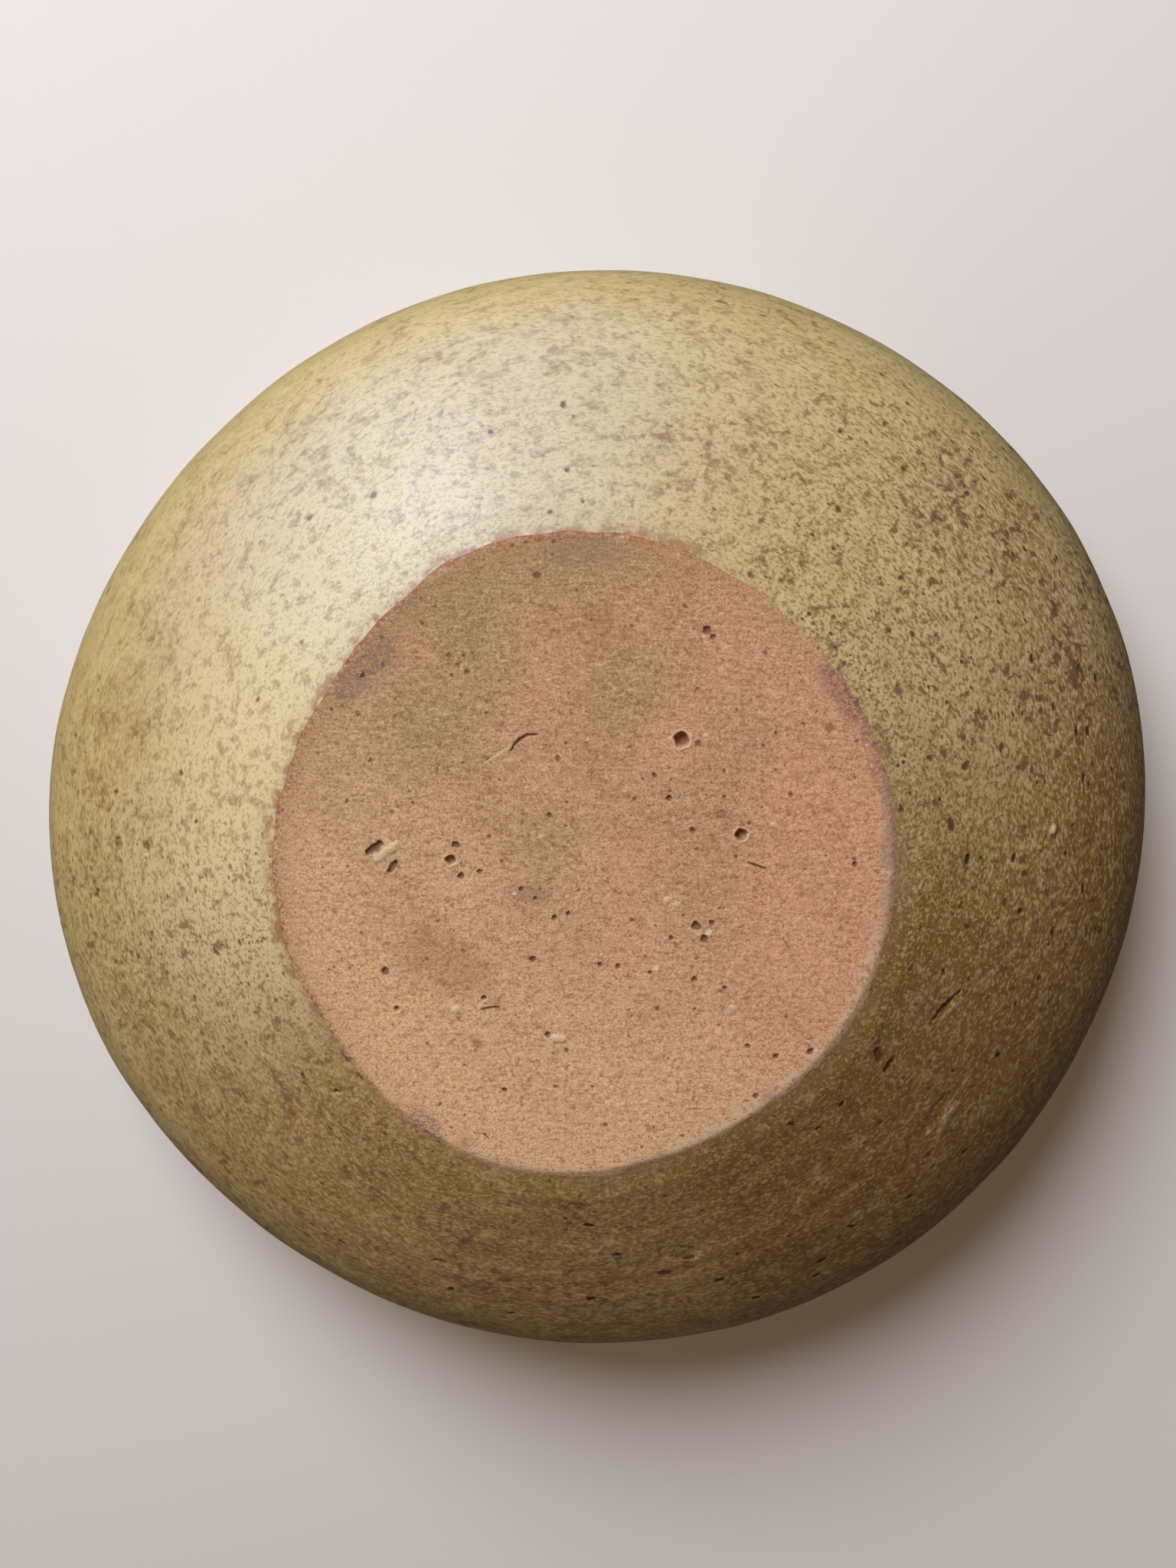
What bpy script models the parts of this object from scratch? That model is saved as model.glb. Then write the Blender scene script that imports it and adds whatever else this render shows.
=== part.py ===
"""A low, closed-in stoneware fruit bowl, thrown by hand, in metres, +Z up.

The bowl stands upright on its flat unglazed foot, with the foot's centre at the
origin. It is three bodies: the fired clay, a glaze coat outside, from just above
the foot to the lip, and a glaze coat inside, from the lip to the floor's centre.
Each is a turned profile. Both coats are worked out from the clay's own outline,
and all three then leave the true circle together, as a thrown bowl does.
"""

import math

import bpy

# Overall outline, measured over the glaze
BELLY_RADIUS = 0.125
BELLY_HEIGHT = 0.052  # height of the widest place above the foot
BOWL_HEIGHT = 0.076
LIP_CREST_RADIUS = 0.1155  # radius of the lip's highest ring

# Foot
FOOT_RADIUS = 0.061  # radius of the flat bare face
FOOT_EDGE_ROUND = 0.003  # radius of the soft edge between the foot and the wall

# Clay wall
WALL_THICKNESS = 0.0072
FLOOR_THICKNESS = 0.0092
LIP_THICKNESS = 0.0056
WALL_START_ANGLE = math.radians(28)  # slope of the wall where it leaves the foot
LIP_LEAN = math.radians(24)  # how far the wall leans in at the lip

# How far each curve runs on in its end's direction before it bends away
FOOT_REACH = 0.036
BELLY_REACH = 0.024
SHOULDER_REACH = 0.009
LIP_REACH = 0.006

# Inside, the wall turns into the floor over this rise above the floor
FLOOR_BLEND_RISE = 0.009
FLOOR_BLEND_SHARE = 0.7  # how far each end runs on towards the corner it cuts off

# Glaze
GLAZE_THICKNESS = 0.0005
GLAZE_FIT = 0.0003  # clearance between a coat and the clay, and between the coats
GLAZE_LINE_HEIGHT = 0.0012  # height on the clay where the outer coat starts

# Faceting
TURN_STEPS = 56
WALL_POINTS = 9
SHOULDER_POINTS = 4
FLOOR_POINTS = 4
INNER_LIP_POINTS = 4
OUTER_LIP_POINTS = 3
FOOT_EDGE_POINTS = 2

# How the hand-thrown outline leaves a circle, as lobes: how many go round, how far
# each stands out, and the bearing of one of their crests, from +X towards +Y
BELLY_LOBES = (
    (2, 0.0016, math.radians(-23)),
    (3, 0.0007, math.radians(61)),
    (4, 0.0006, math.radians(-17)),
)
FOOT_LOBES = (
    (2, 0.0016, math.radians(100)),
    (3, 0.0005, math.radians(10)),
    (4, 0.0005, math.radians(3)),
    (5, 0.0005, math.radians(37)),
)

# Colours are linear red, green and blue
CLAY_COLOUR = (0.42, 0.2, 0.11)
CLAY_ROUGHNESS = 0.85
GLAZE_COLOUR = (0.42, 0.32, 0.14)
GLAZE_ROUGHNESS = 0.42
INNER_GLAZE_ROUGHNESS = 0.34

# Sides of the lip's crest, as the way that a turn round the lip grows
OUTSIDE = -1
INSIDE = 1

COAT = GLAZE_FIT + GLAZE_THICKNESS
CLAY_BELLY_RADIUS = BELLY_RADIUS - COAT
CLAY_HEIGHT = BOWL_HEIGHT - COAT
LIP_ROUND = LIP_THICKNESS / 2


def along(start, angle, reach):
    """The point that lies the given reach from start, in a direction above +X."""
    return (start[0] + reach * math.cos(angle), start[1] + reach * math.sin(angle))


def curve(start, start_handle, end_handle, end, steps):
    """Points on a cubic curve, from just after its start to its end."""
    points = []
    for i in range(1, steps + 1):
        t = i / steps
        weights = ((1 - t) ** 3, 3 * t * (1 - t) ** 2, 3 * t * t * (1 - t), t**3)
        corners = (start, start_handle, end_handle, end)
        points.append(
            tuple(sum(w * c[axis] for w, c in zip(weights, corners)) for axis in (0, 1))
        )
    return points


def lip_point(turn):
    """A point on the round lip: turn 0 is its outer end, and half a turn its inner end."""
    centre = (LIP_CREST_RADIUS, CLAY_HEIGHT - LIP_ROUND)
    return along(centre, LIP_LEAN + turn, LIP_ROUND)


def crest_turn():
    """The turn at which the lip is highest, where the two coats meet."""
    return math.pi / 2 - LIP_LEAN


def lip_outline():
    """The lip's round in two runs: from its inner end to its crest, and on to its outer end."""
    crest = crest_turn()
    inner = [
        lip_point(math.pi + (crest - math.pi) * i / INNER_LIP_POINTS)
        for i in range(1, INNER_LIP_POINTS + 1)
    ]
    outer = [
        lip_point(crest * (1 - i / OUTER_LIP_POINTS))
        for i in range(1, OUTER_LIP_POINTS + 1)
    ]
    return inner, outer


def foot_edge_outline():
    """The soft edge between the wall and the foot's flat face, from the wall down."""
    centre = (FOOT_RADIUS, FOOT_EDGE_ROUND)
    return [
        along(
            centre,
            WALL_START_ANGLE * (1 - i / FOOT_EDGE_POINTS) - math.pi / 2,
            FOOT_EDGE_ROUND,
        )
        for i in range(FOOT_EDGE_POINTS + 1)
    ]


def wall_outline():
    """The clay's outside from the belly down to the foot's soft edge."""
    foot = foot_edge_outline()[0]
    belly = (CLAY_BELLY_RADIUS, BELLY_HEIGHT)
    belly_handle = (CLAY_BELLY_RADIUS, BELLY_HEIGHT - BELLY_REACH)
    foot_handle = along(foot, WALL_START_ANGLE, FOOT_REACH)
    return curve(belly, belly_handle, foot_handle, foot, WALL_POINTS)


def shoulder_outline(lip, belly):
    """One side of the clay between an end of the lip's round and the belly."""
    lip_handle = along(lip, LIP_LEAN - math.pi / 2, LIP_REACH)
    belly_handle = (belly[0], belly[1] + SHOULDER_REACH)
    return curve(lip, lip_handle, belly_handle, belly, SHOULDER_POINTS)


def outer_outline():
    """The clay's outside, from just past the lip's outer end down to the foot's soft edge."""
    belly = (CLAY_BELLY_RADIUS, BELLY_HEIGHT)
    return shoulder_outline(lip_point(0), belly) + wall_outline()


def inner_outline():
    """The clay's inside, from the floor's centre up to the lip's inner end."""
    within = moved_out(outer_outline(), -WALL_THICKNESS)[SHOULDER_POINTS - 1 :]
    wall = cut_at_height(within, FLOOR_THICKNESS + FLOOR_BLEND_RISE)
    above, join = wall[-2], wall[-1]
    run = FLOOR_BLEND_RISE * (above[0] - join[0]) / (above[1] - join[1])
    corner = (join[0] - run, FLOOR_THICKNESS)
    wall_handle = tuple(j + FLOOR_BLEND_SHARE * (c - j) for j, c in zip(join, corner))
    floor_handle = (FLOOR_BLEND_SHARE * corner[0], FLOOR_THICKNESS)
    floor = (0.0, FLOOR_THICKNESS)
    blend = curve(floor, floor_handle, wall_handle, join, FLOOR_POINTS)
    lip = lip_point(math.pi)
    shoulder = shoulder_outline(lip, wall[0])[:-1]
    return [floor] + blend + wall[-2::-1] + shoulder[::-1] + [lip]


def moved_out(points, distance):
    """The outline moved off the clay by a distance, square to its own direction."""
    moved = []
    for i, (x, z) in enumerate(points):
        before = points[max(i - 1, 0)]
        after = points[min(i + 1, len(points) - 1)]
        dx, dz = after[0] - before[0], after[1] - before[1]
        length = math.hypot(dx, dz)
        moved.append((x - distance * dz / length, z + distance * dx / length))
    return moved


def cut_at_height(points, height):
    """The part of a falling outline above a height, ending exactly there."""
    kept = []
    for above, below in zip(points, points[1:]):
        kept.append(above)
        if below[1] < height:
            share = (above[1] - height) / (above[1] - below[1])
            kept.append((above[0] + share * (below[0] - above[0]), height))
            return kept
    return kept + [points[-1]]


def material(name, colour, roughness):
    made = bpy.data.materials.new(name)
    made.use_nodes = True
    shader = made.node_tree.nodes["Principled BSDF"]
    shader.inputs["Base Color"].default_value = (*colour, 1.0)
    shader.inputs["Roughness"].default_value = roughness
    shader.inputs["Metallic"].default_value = 0.0
    return made


def swell(lobes, bearing):
    return sum(size * math.cos(count * (bearing - crest)) for count, size, crest in lobes)


def leave_the_circle(mesh):
    """Moves each point in or out by the foot's lobes low down and by the belly's from the belly up."""
    for vertex in mesh.vertices:
        rise = min(max(vertex.co.z / BELLY_HEIGHT, 0.0), 1.0)
        belly_share = rise * rise * (3 - 2 * rise)
        bearing = math.atan2(vertex.co.y, vertex.co.x)
        scale = (
            1
            + belly_share * swell(BELLY_LOBES, bearing) / BELLY_RADIUS
            + (1 - belly_share) * swell(FOOT_LOBES, bearing) / FOOT_RADIUS
        )
        vertex.co.x *= scale
        vertex.co.y *= scale


def turned(name, outline, closed, finish, collection):
    """A body turned from its outline about +Z, then put out of round."""
    count = len(outline)
    edges = [(i, i + 1) for i in range(count - 1)]
    if closed:
        edges.append((count - 1, 0))
    profile = bpy.data.meshes.new(name)
    profile.from_pydata([(x, 0.0, z) for x, z in outline], edges, [])
    body = bpy.data.objects.new(name, profile)
    collection.objects.link(body)
    screw = body.modifiers.new("turn", "SCREW")
    screw.steps = TURN_STEPS
    screw.render_steps = TURN_STEPS
    screw.use_merge_vertices = True
    screw.merge_threshold = 0.00001
    depsgraph = bpy.context.evaluated_depsgraph_get()
    mesh = bpy.data.meshes.new_from_object(body.evaluated_get(depsgraph))
    body.modifiers.clear()
    body.data = mesh
    bpy.data.meshes.remove(profile)
    mesh.name = name
    leave_the_circle(mesh)
    mesh.shade_smooth()
    mesh.set_sharp_from_angle(angle=math.radians(50))
    mesh.materials.append(finish)
    return body


def clay_body(finish, collection):
    inner_lip, outer_lip = lip_outline()
    outside = outer_lip + outer_outline() + foot_edge_outline()[1:] + [(0.0, 0.0)]
    outline = inner_outline() + inner_lip + outside
    return turned("clay_body", outline, False, finish, collection)


def coat_end(side):
    """Where a coat ends beside the lip's crest, half a clearance from it."""
    half_gap = GLAZE_FIT / 2 / (LIP_ROUND + GLAZE_FIT)
    return lip_point(crest_turn() + side * half_gap)


def outer_glaze(finish, collection):
    """A coat from the lip's crest down to the glaze line."""
    _, outer_lip = lip_outline()
    start = coat_end(OUTSIDE)
    outside = [start] + outer_lip + outer_outline() + foot_edge_outline()[1:]
    backing = cut_at_height(outside, GLAZE_LINE_HEIGHT)
    face = moved_out(backing, COAT)
    seat = moved_out(backing, GLAZE_FIT)
    return turned("outer_glaze", face + seat[::-1], True, finish, collection)


def inner_glaze(finish, collection):
    """A coat from the floor's centre up to the lip's crest."""
    inner_lip, _ = lip_outline()
    backing = inner_outline() + inner_lip[:-1] + [coat_end(INSIDE)]
    face = moved_out(backing, COAT)
    seat = moved_out(backing, GLAZE_FIT)
    face[0] = (0.0, backing[0][1] + COAT)
    seat[0] = (0.0, backing[0][1] + GLAZE_FIT)
    return turned("inner_glaze", face + seat[::-1], False, finish, collection)


def main():
    for old in list(bpy.data.objects):
        bpy.data.objects.remove(old)
    collection = bpy.data.collections.new("fruit_bowl")
    bpy.context.scene.collection.children.link(collection)
    clay = material("fired_stoneware", CLAY_COLOUR, CLAY_ROUGHNESS)
    outside = material("outside_glaze", GLAZE_COLOUR, GLAZE_ROUGHNESS)
    inside = material("inside_glaze", GLAZE_COLOUR, INNER_GLAZE_ROUGHNESS)
    clay_body(clay, collection)
    outer_glaze(outside, collection)
    inner_glaze(inside, collection)


main()
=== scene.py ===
import math

import bpy
import numpy as np
from mathutils import Matrix, Vector, noise


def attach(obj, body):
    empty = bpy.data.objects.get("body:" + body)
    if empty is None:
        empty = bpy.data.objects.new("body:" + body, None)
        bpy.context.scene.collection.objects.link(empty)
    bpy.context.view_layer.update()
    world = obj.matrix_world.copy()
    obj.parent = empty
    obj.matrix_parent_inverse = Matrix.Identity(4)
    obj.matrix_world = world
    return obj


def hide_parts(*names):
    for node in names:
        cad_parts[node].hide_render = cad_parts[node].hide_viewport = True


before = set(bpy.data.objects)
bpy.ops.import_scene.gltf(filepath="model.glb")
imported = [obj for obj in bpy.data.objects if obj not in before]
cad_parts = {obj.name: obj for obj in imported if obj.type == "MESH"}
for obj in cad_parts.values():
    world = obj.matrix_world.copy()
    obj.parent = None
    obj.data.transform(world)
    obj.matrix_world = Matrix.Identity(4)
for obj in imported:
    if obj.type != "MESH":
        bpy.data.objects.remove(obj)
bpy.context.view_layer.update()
mm = 0.001
weldReach = 0.01 * mm    # points closer than this are one point

# The camera stands where the photograph was taken from, below the bowl, and looks up at its foot.
view = {
    "place": (13.99, -56.6, -309.19),  # mm
    "aim": (1.1, -16.05, 0.0),         # mm, on the foot's plane
    "lens": 36.0,
    "sensor": 36.0,                    # the picture's long side
    "pictureWidth": 1536,
    "pictureHeight": 2048,
}
lookPlace = Vector(view["place"]) * mm
lookAhead = (Vector(view["aim"]) * mm - lookPlace).normalized()
lookRight = lookAhead.cross(Vector((0, -1, 0))).normalized()
lookDown = lookAhead.cross(lookRight)


def pictureRay(x, y):
    # the direction in which the camera sees a point of the picture
    perPixel = view["sensor"] / view["lens"] / view["pictureHeight"]
    across = (x - view["pictureWidth"] / 2) * perPixel
    down = (y - view["pictureHeight"] / 2) * perPixel
    return (lookAhead + lookRight * across + lookDown * down).normalized()


def onBowl(node, picturePoints):
    # where points of the picture (x, y, x, y and so on) lie on a node of the frame, in mm
    path = []
    for x, y in zip(picturePoints[::2], picturePoints[1::2]):
        hit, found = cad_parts[node].ray_cast(lookPlace, pictureRay(x, y))[:2]
        if not hit:
            raise ValueError(f"picture point {x}, {y} misses {node}")
        path.append(np.array(found) / mm)
    return path


# Outline of the fired clay, in mm from the turning axis and from the table
bowl = {
    "bellyRadius": 124.2,
    "bellyHeight": 52.0,
    "height": 75.2,
    "lipCrestRadius": 115.5,
    "lipThickness": 5.6,
    "lipLean": math.radians(24),
    "footRadius": 62.3,
    "footEdgeRound": 1.6,
    "wallStart": math.radians(28),  # slope of the wall where it leaves the foot
    "wallThickness": 7.2,
    "floorThickness": 9.2,
    "footReach": 36.0,              # how far each curve runs on in its end's direction
    "bellyReach": 24.0,
    "shoulderReach": 9.0,
    "lipReach": 6.0,
    "floorBlendRise": 9.0,
    "floorBlendShare": 0.7,
}

# How the thrown bowl leaves a circle: how many lobes, how far each stands out, bearing of a crest
bellyLobes = ((2, 1.6, math.radians(-23)), (3, 0.7, math.radians(61)), (4, 0.6, math.radians(-17)))
footLobes = (
    (2, 1.6, math.radians(100)), (3, 0.5, math.radians(10)),
    (4, 0.5, math.radians(3)), (5, 0.5, math.radians(37)),
)


def along(start, angle, reach):
    return (start[0] + reach * math.cos(angle), start[1] + reach * math.sin(angle))


def curved(start, startHandle, endHandle, end, steps=80):
    # a cubic curve's points, both ends included
    corners = np.array((start, startHandle, endHandle, end))
    t = np.linspace(0, 1, steps + 1)[:, None]
    weights = np.hstack(((1 - t) ** 3, 3 * t * (1 - t) ** 2, 3 * t * t * (1 - t), t ** 3))
    return weights @ corners


def roundLip(startTurn, endTurn, steps=24):
    # turn 0 is the lip's outer end and half a turn its inner end
    radius = bowl["lipThickness"] / 2
    centre = (bowl["lipCrestRadius"], bowl["height"] - radius)
    turns = np.linspace(startTurn, endTurn, steps + 1)
    return np.array([along(centre, bowl["lipLean"] + turn, radius) for turn in turns])


def shoulder(lipEnd, belly):
    lipHandle = along(lipEnd, bowl["lipLean"] - math.pi / 2, bowl["lipReach"])
    return curved(lipEnd, lipHandle, (belly[0], belly[1] + bowl["shoulderReach"]), belly)


def footEdge():
    centre = (bowl["footRadius"], bowl["footEdgeRound"])
    angles = np.linspace(bowl["wallStart"] - math.pi / 2, -math.pi / 2, 13)
    return np.array([along(centre, angle, bowl["footEdgeRound"]) for angle in angles])


def outsideWall():
    # from the lip's outer end over the belly to the foot's soft edge
    belly = (bowl["bellyRadius"], bowl["bellyHeight"])
    foot = tuple(footEdge()[0])
    bellyHandle = (belly[0], belly[1] - bowl["bellyReach"])
    wall = curved(belly, bellyHandle, along(foot, bowl["wallStart"], bowl["footReach"]), foot)
    return np.vstack((shoulder(tuple(roundLip(0, 0, 0)[0]), belly), wall[1:]))


def movedOut(points, distance):
    # the outline moved square to itself, away from the clay
    step = np.gradient(points, axis=0)
    step /= np.linalg.norm(step, axis=1)[:, None]
    return points + np.stack((-step[:, 1], step[:, 0]), axis=1) * np.reshape(distance, (-1, 1))


def aboveHeight(points, height):
    # a falling outline down to a height, ending exactly there
    kept = points[points[:, 1] > height]
    after = points[len(kept)]
    share = (kept[-1][1] - height) / (kept[-1][1] - after[1])
    return np.vstack((kept, kept[-1] + share * (after - kept[-1])))


def insideWall():
    # from the floor's centre up to the lip's inner end
    outside = outsideWall()
    within = movedOut(outside, -bowl["wallThickness"])[np.argmax(outside[:, 0]):]
    wall = aboveHeight(within, bowl["floorThickness"] + bowl["floorBlendRise"])
    join, above = wall[-1], wall[-2]
    run = bowl["floorBlendRise"] * (above[0] - join[0]) / (above[1] - join[1])
    corner = np.array((join[0] - run, bowl["floorThickness"]))
    floor = np.array((0.0, bowl["floorThickness"]))
    floorHandle = floor + (corner - floor) * bowl["floorBlendShare"]
    blend = curved(floor, floorHandle, join + (corner - join) * bowl["floorBlendShare"], join)
    upper = shoulder(tuple(roundLip(math.pi, math.pi, 0)[0]), tuple(wall[0]))[::-1]
    return np.vstack((blend, wall[-2::-1], upper[1:]))


def lengthsAlong(points):
    return np.concatenate(([0], np.cumsum(np.linalg.norm(np.diff(points, axis=0), axis=1))))


def spaced(points, step, *tails):
    # the outline in even steps, with finer ones along its last stretches (reach, step)
    lengths = lengthsAlong(points)
    starts = [0.0] + [lengths[-1] - reach for reach, fine in tails]
    ends = starts[1:] + [lengths[-1]]
    steps = [step] + [fine for reach, fine in tails]
    stops = [0.0]
    for start, end, size in zip(starts, ends, steps):
        stops.extend(np.linspace(start, end, max(round((end - start) / size), 1) + 1)[1:])
    return np.stack([np.interp(stops, lengths, points[:, axis]) for axis in (0, 1)], axis=1)


def ramp(values, start, end):
    # 0 at start and softly up to 1 at end, which may be the lower of the two
    share = np.clip((values - start) / (end - start), 0, 1)
    return share * share * (3 - 2 * share)


def polar(points):
    # each point's distance from the turning axis and its bearing round it
    return np.linalg.norm(points[:, :2], axis=1), np.arctan2(points[:, 1], points[:, 0])


def swell(lobes, bearing):
    return sum(size * np.cos(count * (bearing - crest)) for count, size, crest in lobes)


def outOfRound(points):
    # how many times wider than its circle the thrown form is at each point (in mm)
    bearing = polar(points)[1]
    share = ramp(points[:, 2], 0, bowl["bellyHeight"])
    belly = share * swell(bellyLobes, bearing) / (bowl["bellyRadius"] + glaze["face"])
    return 1 + belly + (1 - share) * swell(footLobes, bearing) / bowl["footRadius"]


def read(piece, what="co"):
    # the points or normals of a piece, the points in mm
    flat = np.empty(len(piece.data.vertices) * 3, np.float32)
    piece.data.vertices.foreach_get(what, flat)
    return flat.reshape(-1, 3).astype(float) / (mm if what == "co" else 1)


def place(piece, points):
    piece.data.vertices.foreach_set("co", (points * mm).astype(np.float32).ravel())
    piece.data.update()


def turned(name, outline, segments, closed=False):
    # draws an outline by extruding one vertex along it, and turns it round the bowl's axis
    bpy.ops.object.select_all(action="DESELECT")
    bpy.ops.mesh.primitive_plane_add(size=mm)
    piece = bpy.context.object
    piece.name = name
    piece.data.name = name
    bpy.context.tool_settings.mesh_select_mode = (True, False, False)
    bpy.ops.object.mode_set(mode="EDIT")
    bpy.ops.mesh.merge(type="CENTER")
    places = [Vector((r, 0, z)) * mm for r, z in outline]
    bpy.ops.transform.translate(value=places[0])
    for before, after in zip(places, places[1:]):
        bpy.ops.mesh.extrude_region_move(TRANSFORM_OT_translate={"value": after - before})
    if closed:
        bpy.ops.object.mode_set(mode="OBJECT")
        piece.data.vertices[0].select = True
        bpy.ops.object.mode_set(mode="EDIT")
        bpy.ops.mesh.edge_face_add()
    bpy.ops.object.mode_set(mode="OBJECT")
    turn = piece.modifiers.new("turn", "SCREW")
    turn.steps = turn.render_steps = segments
    turn.use_merge_vertices = True
    turn.merge_threshold = weldReach
    bpy.ops.object.modifier_apply(modifier=turn.name)
    bpy.ops.object.mode_set(mode="EDIT")
    bpy.ops.mesh.select_all(action="SELECT")
    bpy.ops.mesh.remove_doubles(threshold=weldReach)
    bpy.ops.mesh.normals_make_consistent(inside=False)
    bpy.ops.object.mode_set(mode="OBJECT")
    points = read(piece)
    points[:, :2] *= outOfRound(points)[:, None]
    place(piece, points)
    print(name, "turned:", len(piece.data.polygons), "faces")
    return piece


def onOutline(points, outline, batch=5000):
    # points beside an outline (radius, height) moved to the nearest place on it
    start, step = outline[:-1], np.diff(outline, axis=0)
    found = np.empty_like(points)
    for first in range(0, len(points), batch):
        some = points[first:first + batch, None]
        share = np.clip(((some - start) * step).sum(2) / (step * step).sum(1), 0, 1)
        nearest = start + share[:, :, None] * step
        best = np.linalg.norm(nearest - some, axis=2).argmin(1)
        found[first:first + batch] = nearest[np.arange(len(best)), best]
    return found


def closeUp(piece, marks, outline, cuts):
    # finer faces round each mark, with the new points kept on the turned form
    faces = piece.data.polygons
    centres = np.empty(len(faces) * 3, np.float32)
    areas = np.empty(len(faces), np.float32)
    faces.foreach_get("center", centres)
    faces.foreach_get("area", areas)
    centres = centres.reshape(-1, 3) / mm
    near = np.zeros(len(faces), bool)
    for mark in marks:
        reach = mark["width"] * markShape["closeShare"] + markShape["closeMargin"]
        near |= distanceTo(centres, mark["path"]) < reach
    near &= areas < 3 * mm * mm   # the large faces are the coats' hidden ones
    count = len(piece.data.vertices)
    bpy.ops.object.select_all(action="DESELECT")
    piece.select_set(True)
    bpy.context.view_layer.objects.active = piece
    bpy.context.tool_settings.mesh_select_mode = (False, False, True)
    bpy.ops.object.mode_set(mode="EDIT")
    bpy.ops.mesh.select_all(action="DESELECT")
    bpy.ops.object.mode_set(mode="OBJECT")
    faces.foreach_set("select", near)
    bpy.ops.object.mode_set(mode="EDIT")
    bpy.ops.mesh.subdivide(number_cuts=cuts)
    bpy.ops.object.mode_set(mode="OBJECT")
    points = read(piece)
    added = points[count:]
    wide = outOfRound(added)
    radius = polar(added)[0]
    formed = onOutline(np.stack((radius / wide, added[:, 2]), axis=1), outline)
    added[:, :2] *= (formed[:, 0] * wide / radius)[:, None]
    added[:, 2] = formed[:, 1]
    place(piece, points)
    piece.data.calc_loop_triangles()
    print(piece.name, "refined:", len(piece.data.loop_triangles), "triangles")


def distanceTo(points, path):
    # from each point to a path of one or more places
    if len(path) == 1:
        return np.linalg.norm(points - path[0], axis=1)
    nearest = np.full(len(points), 1e9)
    for start, end in zip(path, path[1:]):
        step = end - start
        share = np.clip((points - start) @ step / (step @ step), 0, 1)
        nearest = np.minimum(nearest, np.linalg.norm(points - start - share[:, None] * step, axis=1))
    return nearest


def grain(points, size):
    # soft noise from -1 to 1, with bumps of about that size in mm
    return np.array([noise.noise(Vector(point) / size) for point in points])


def sides(piece, bearing):
    # how strong each look of a piece's table is round it: its strongest row at each bearing
    found = {}
    for look, rows in piece["sides"].items():
        found[look] = np.zeros(len(bearing))
        for strength, centre, halfWidth, soft in rows:
            apart = np.abs((np.degrees(bearing) - centre + 180) % 360 - 180)
            found[look] = np.maximum(found[look], strength * ramp(apart, halfWidth + soft, halfWidth))
    return found


def lineStray(bearing):
    # how far up the wall the glaze's end lies at each bearing (mm)
    rim = np.stack((np.cos(bearing), np.sin(bearing), bearing * 0), axis=1) * bowl["footRadius"]
    wander = grain(rim, endLine["size"]) + endLine["fineShare"] * grain(rim, endLine["fineSize"])
    stray = endLine["rise"] + endLine["wander"] * wander
    return np.maximum(stray, endLine["least"])


def lipTone(heights):
    return glaze["lipTone"] * ramp(heights - bowl["height"], *glaze["lipBand"])


def addTones(piece, tones):
    for name, values in tones.items():
        attribute = piece.data.attributes.new(name, "FLOAT", "POINT")
        attribute.data.foreach_set("value", np.clip(values, 0, 1).astype(np.float32))


# What the kiln and the hand left on the surface. Depth is a share of the width, and below 0 it stands
# up. Steep is how squarely the sides fall, uneven how far the outline strays from round, and the rest
# are tones. The dark tone is partly the marks' own dark and partly painted shade in their hollows.
markKinds = {
    "spot": {"depth": 0.04, "rust": 0.9},                               # iron speck bled into the glaze
    "fleck": {"depth": 0.02, "rust": 0.5},
    "pit": {"depth": 0.32, "steep": 4, "darkAndShade": 0.6, "rust": 0.3},       # burst bubble or burnt-out grain
    "prick": {"depth": 0.2, "steep": 3, "darkAndShade": 0.9, "rust": 0.4, "uneven": 0.25},
    "redPit": {"depth": 0.15, "steep": 3, "rust": 0.7, "darkAndShade": 0.2},
    "slit": {"depth": 0.5, "steep": 3, "darkAndShade": 0.65, "rust": 0.3},
    "hole": {"depth": 0.65, "steep": 5, "rim": 0.05, "darkAndShade": 0.35, "paleRim": 0.6, "uneven": 0.25},
    "chip": {"depth": 0.10, "steep": 4, "pale": 0.9},
    "crumb": {"depth": -0.12, "pale": 0.55},
    "lump": {"depth": -0.08, "pale": 0.35},
    "bead": {"depth": -0.2, "pale": 0.7, "uneven": 0.15},
    "hollow": {"depth": 0.07},                                          # soft dent, same colour
    "ridge": {"depth": -0.07, "pale": 0.15},
    "mauve": {"depth": 0.02, "mauve": 0.8},
}
toneNames = ("darkAndShade", "pale", "rust", "mauve")

# The shape that all marks share, in half widths from the middle where nothing else is said
markShape = {
    "reach": 2.4,          # nothing shows beyond this and the margin (mm)
    "margin": 0.2,
    "closeShare": 0.8,     # the faces are finer round it to this share of its width
    "closeMargin": 0.5,    # and this much beyond (mm)
    "uneven": 0.42,
    "steep": 2,
    "taper": 0.9,          # how much narrower a long mark grows towards its ends
    "rimPlace": 1.2,
    "rimWidth": 0.17,
    "colourEnd": 1.15,
    "colourFull": 0.7,
}

# How far the glaze's end lies above its circle at the foot, how far it strays from there, and the size
# of its waves and of the finer ones on them (mm)
endLine = {"rise": 0.35, "wander": 1.0, "least": -0.3, "size": 12, "fineSize": 4.5, "fineShare": 0.5}


def readMarks(node, table):
    # the marks of a table, laid on the frame's node
    return [
        {"kind": kind, "width": width, "path": onBowl(node, picturePoints)}
        for kind, rows in table.items() for width, *picturePoints in rows
    ]


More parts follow.
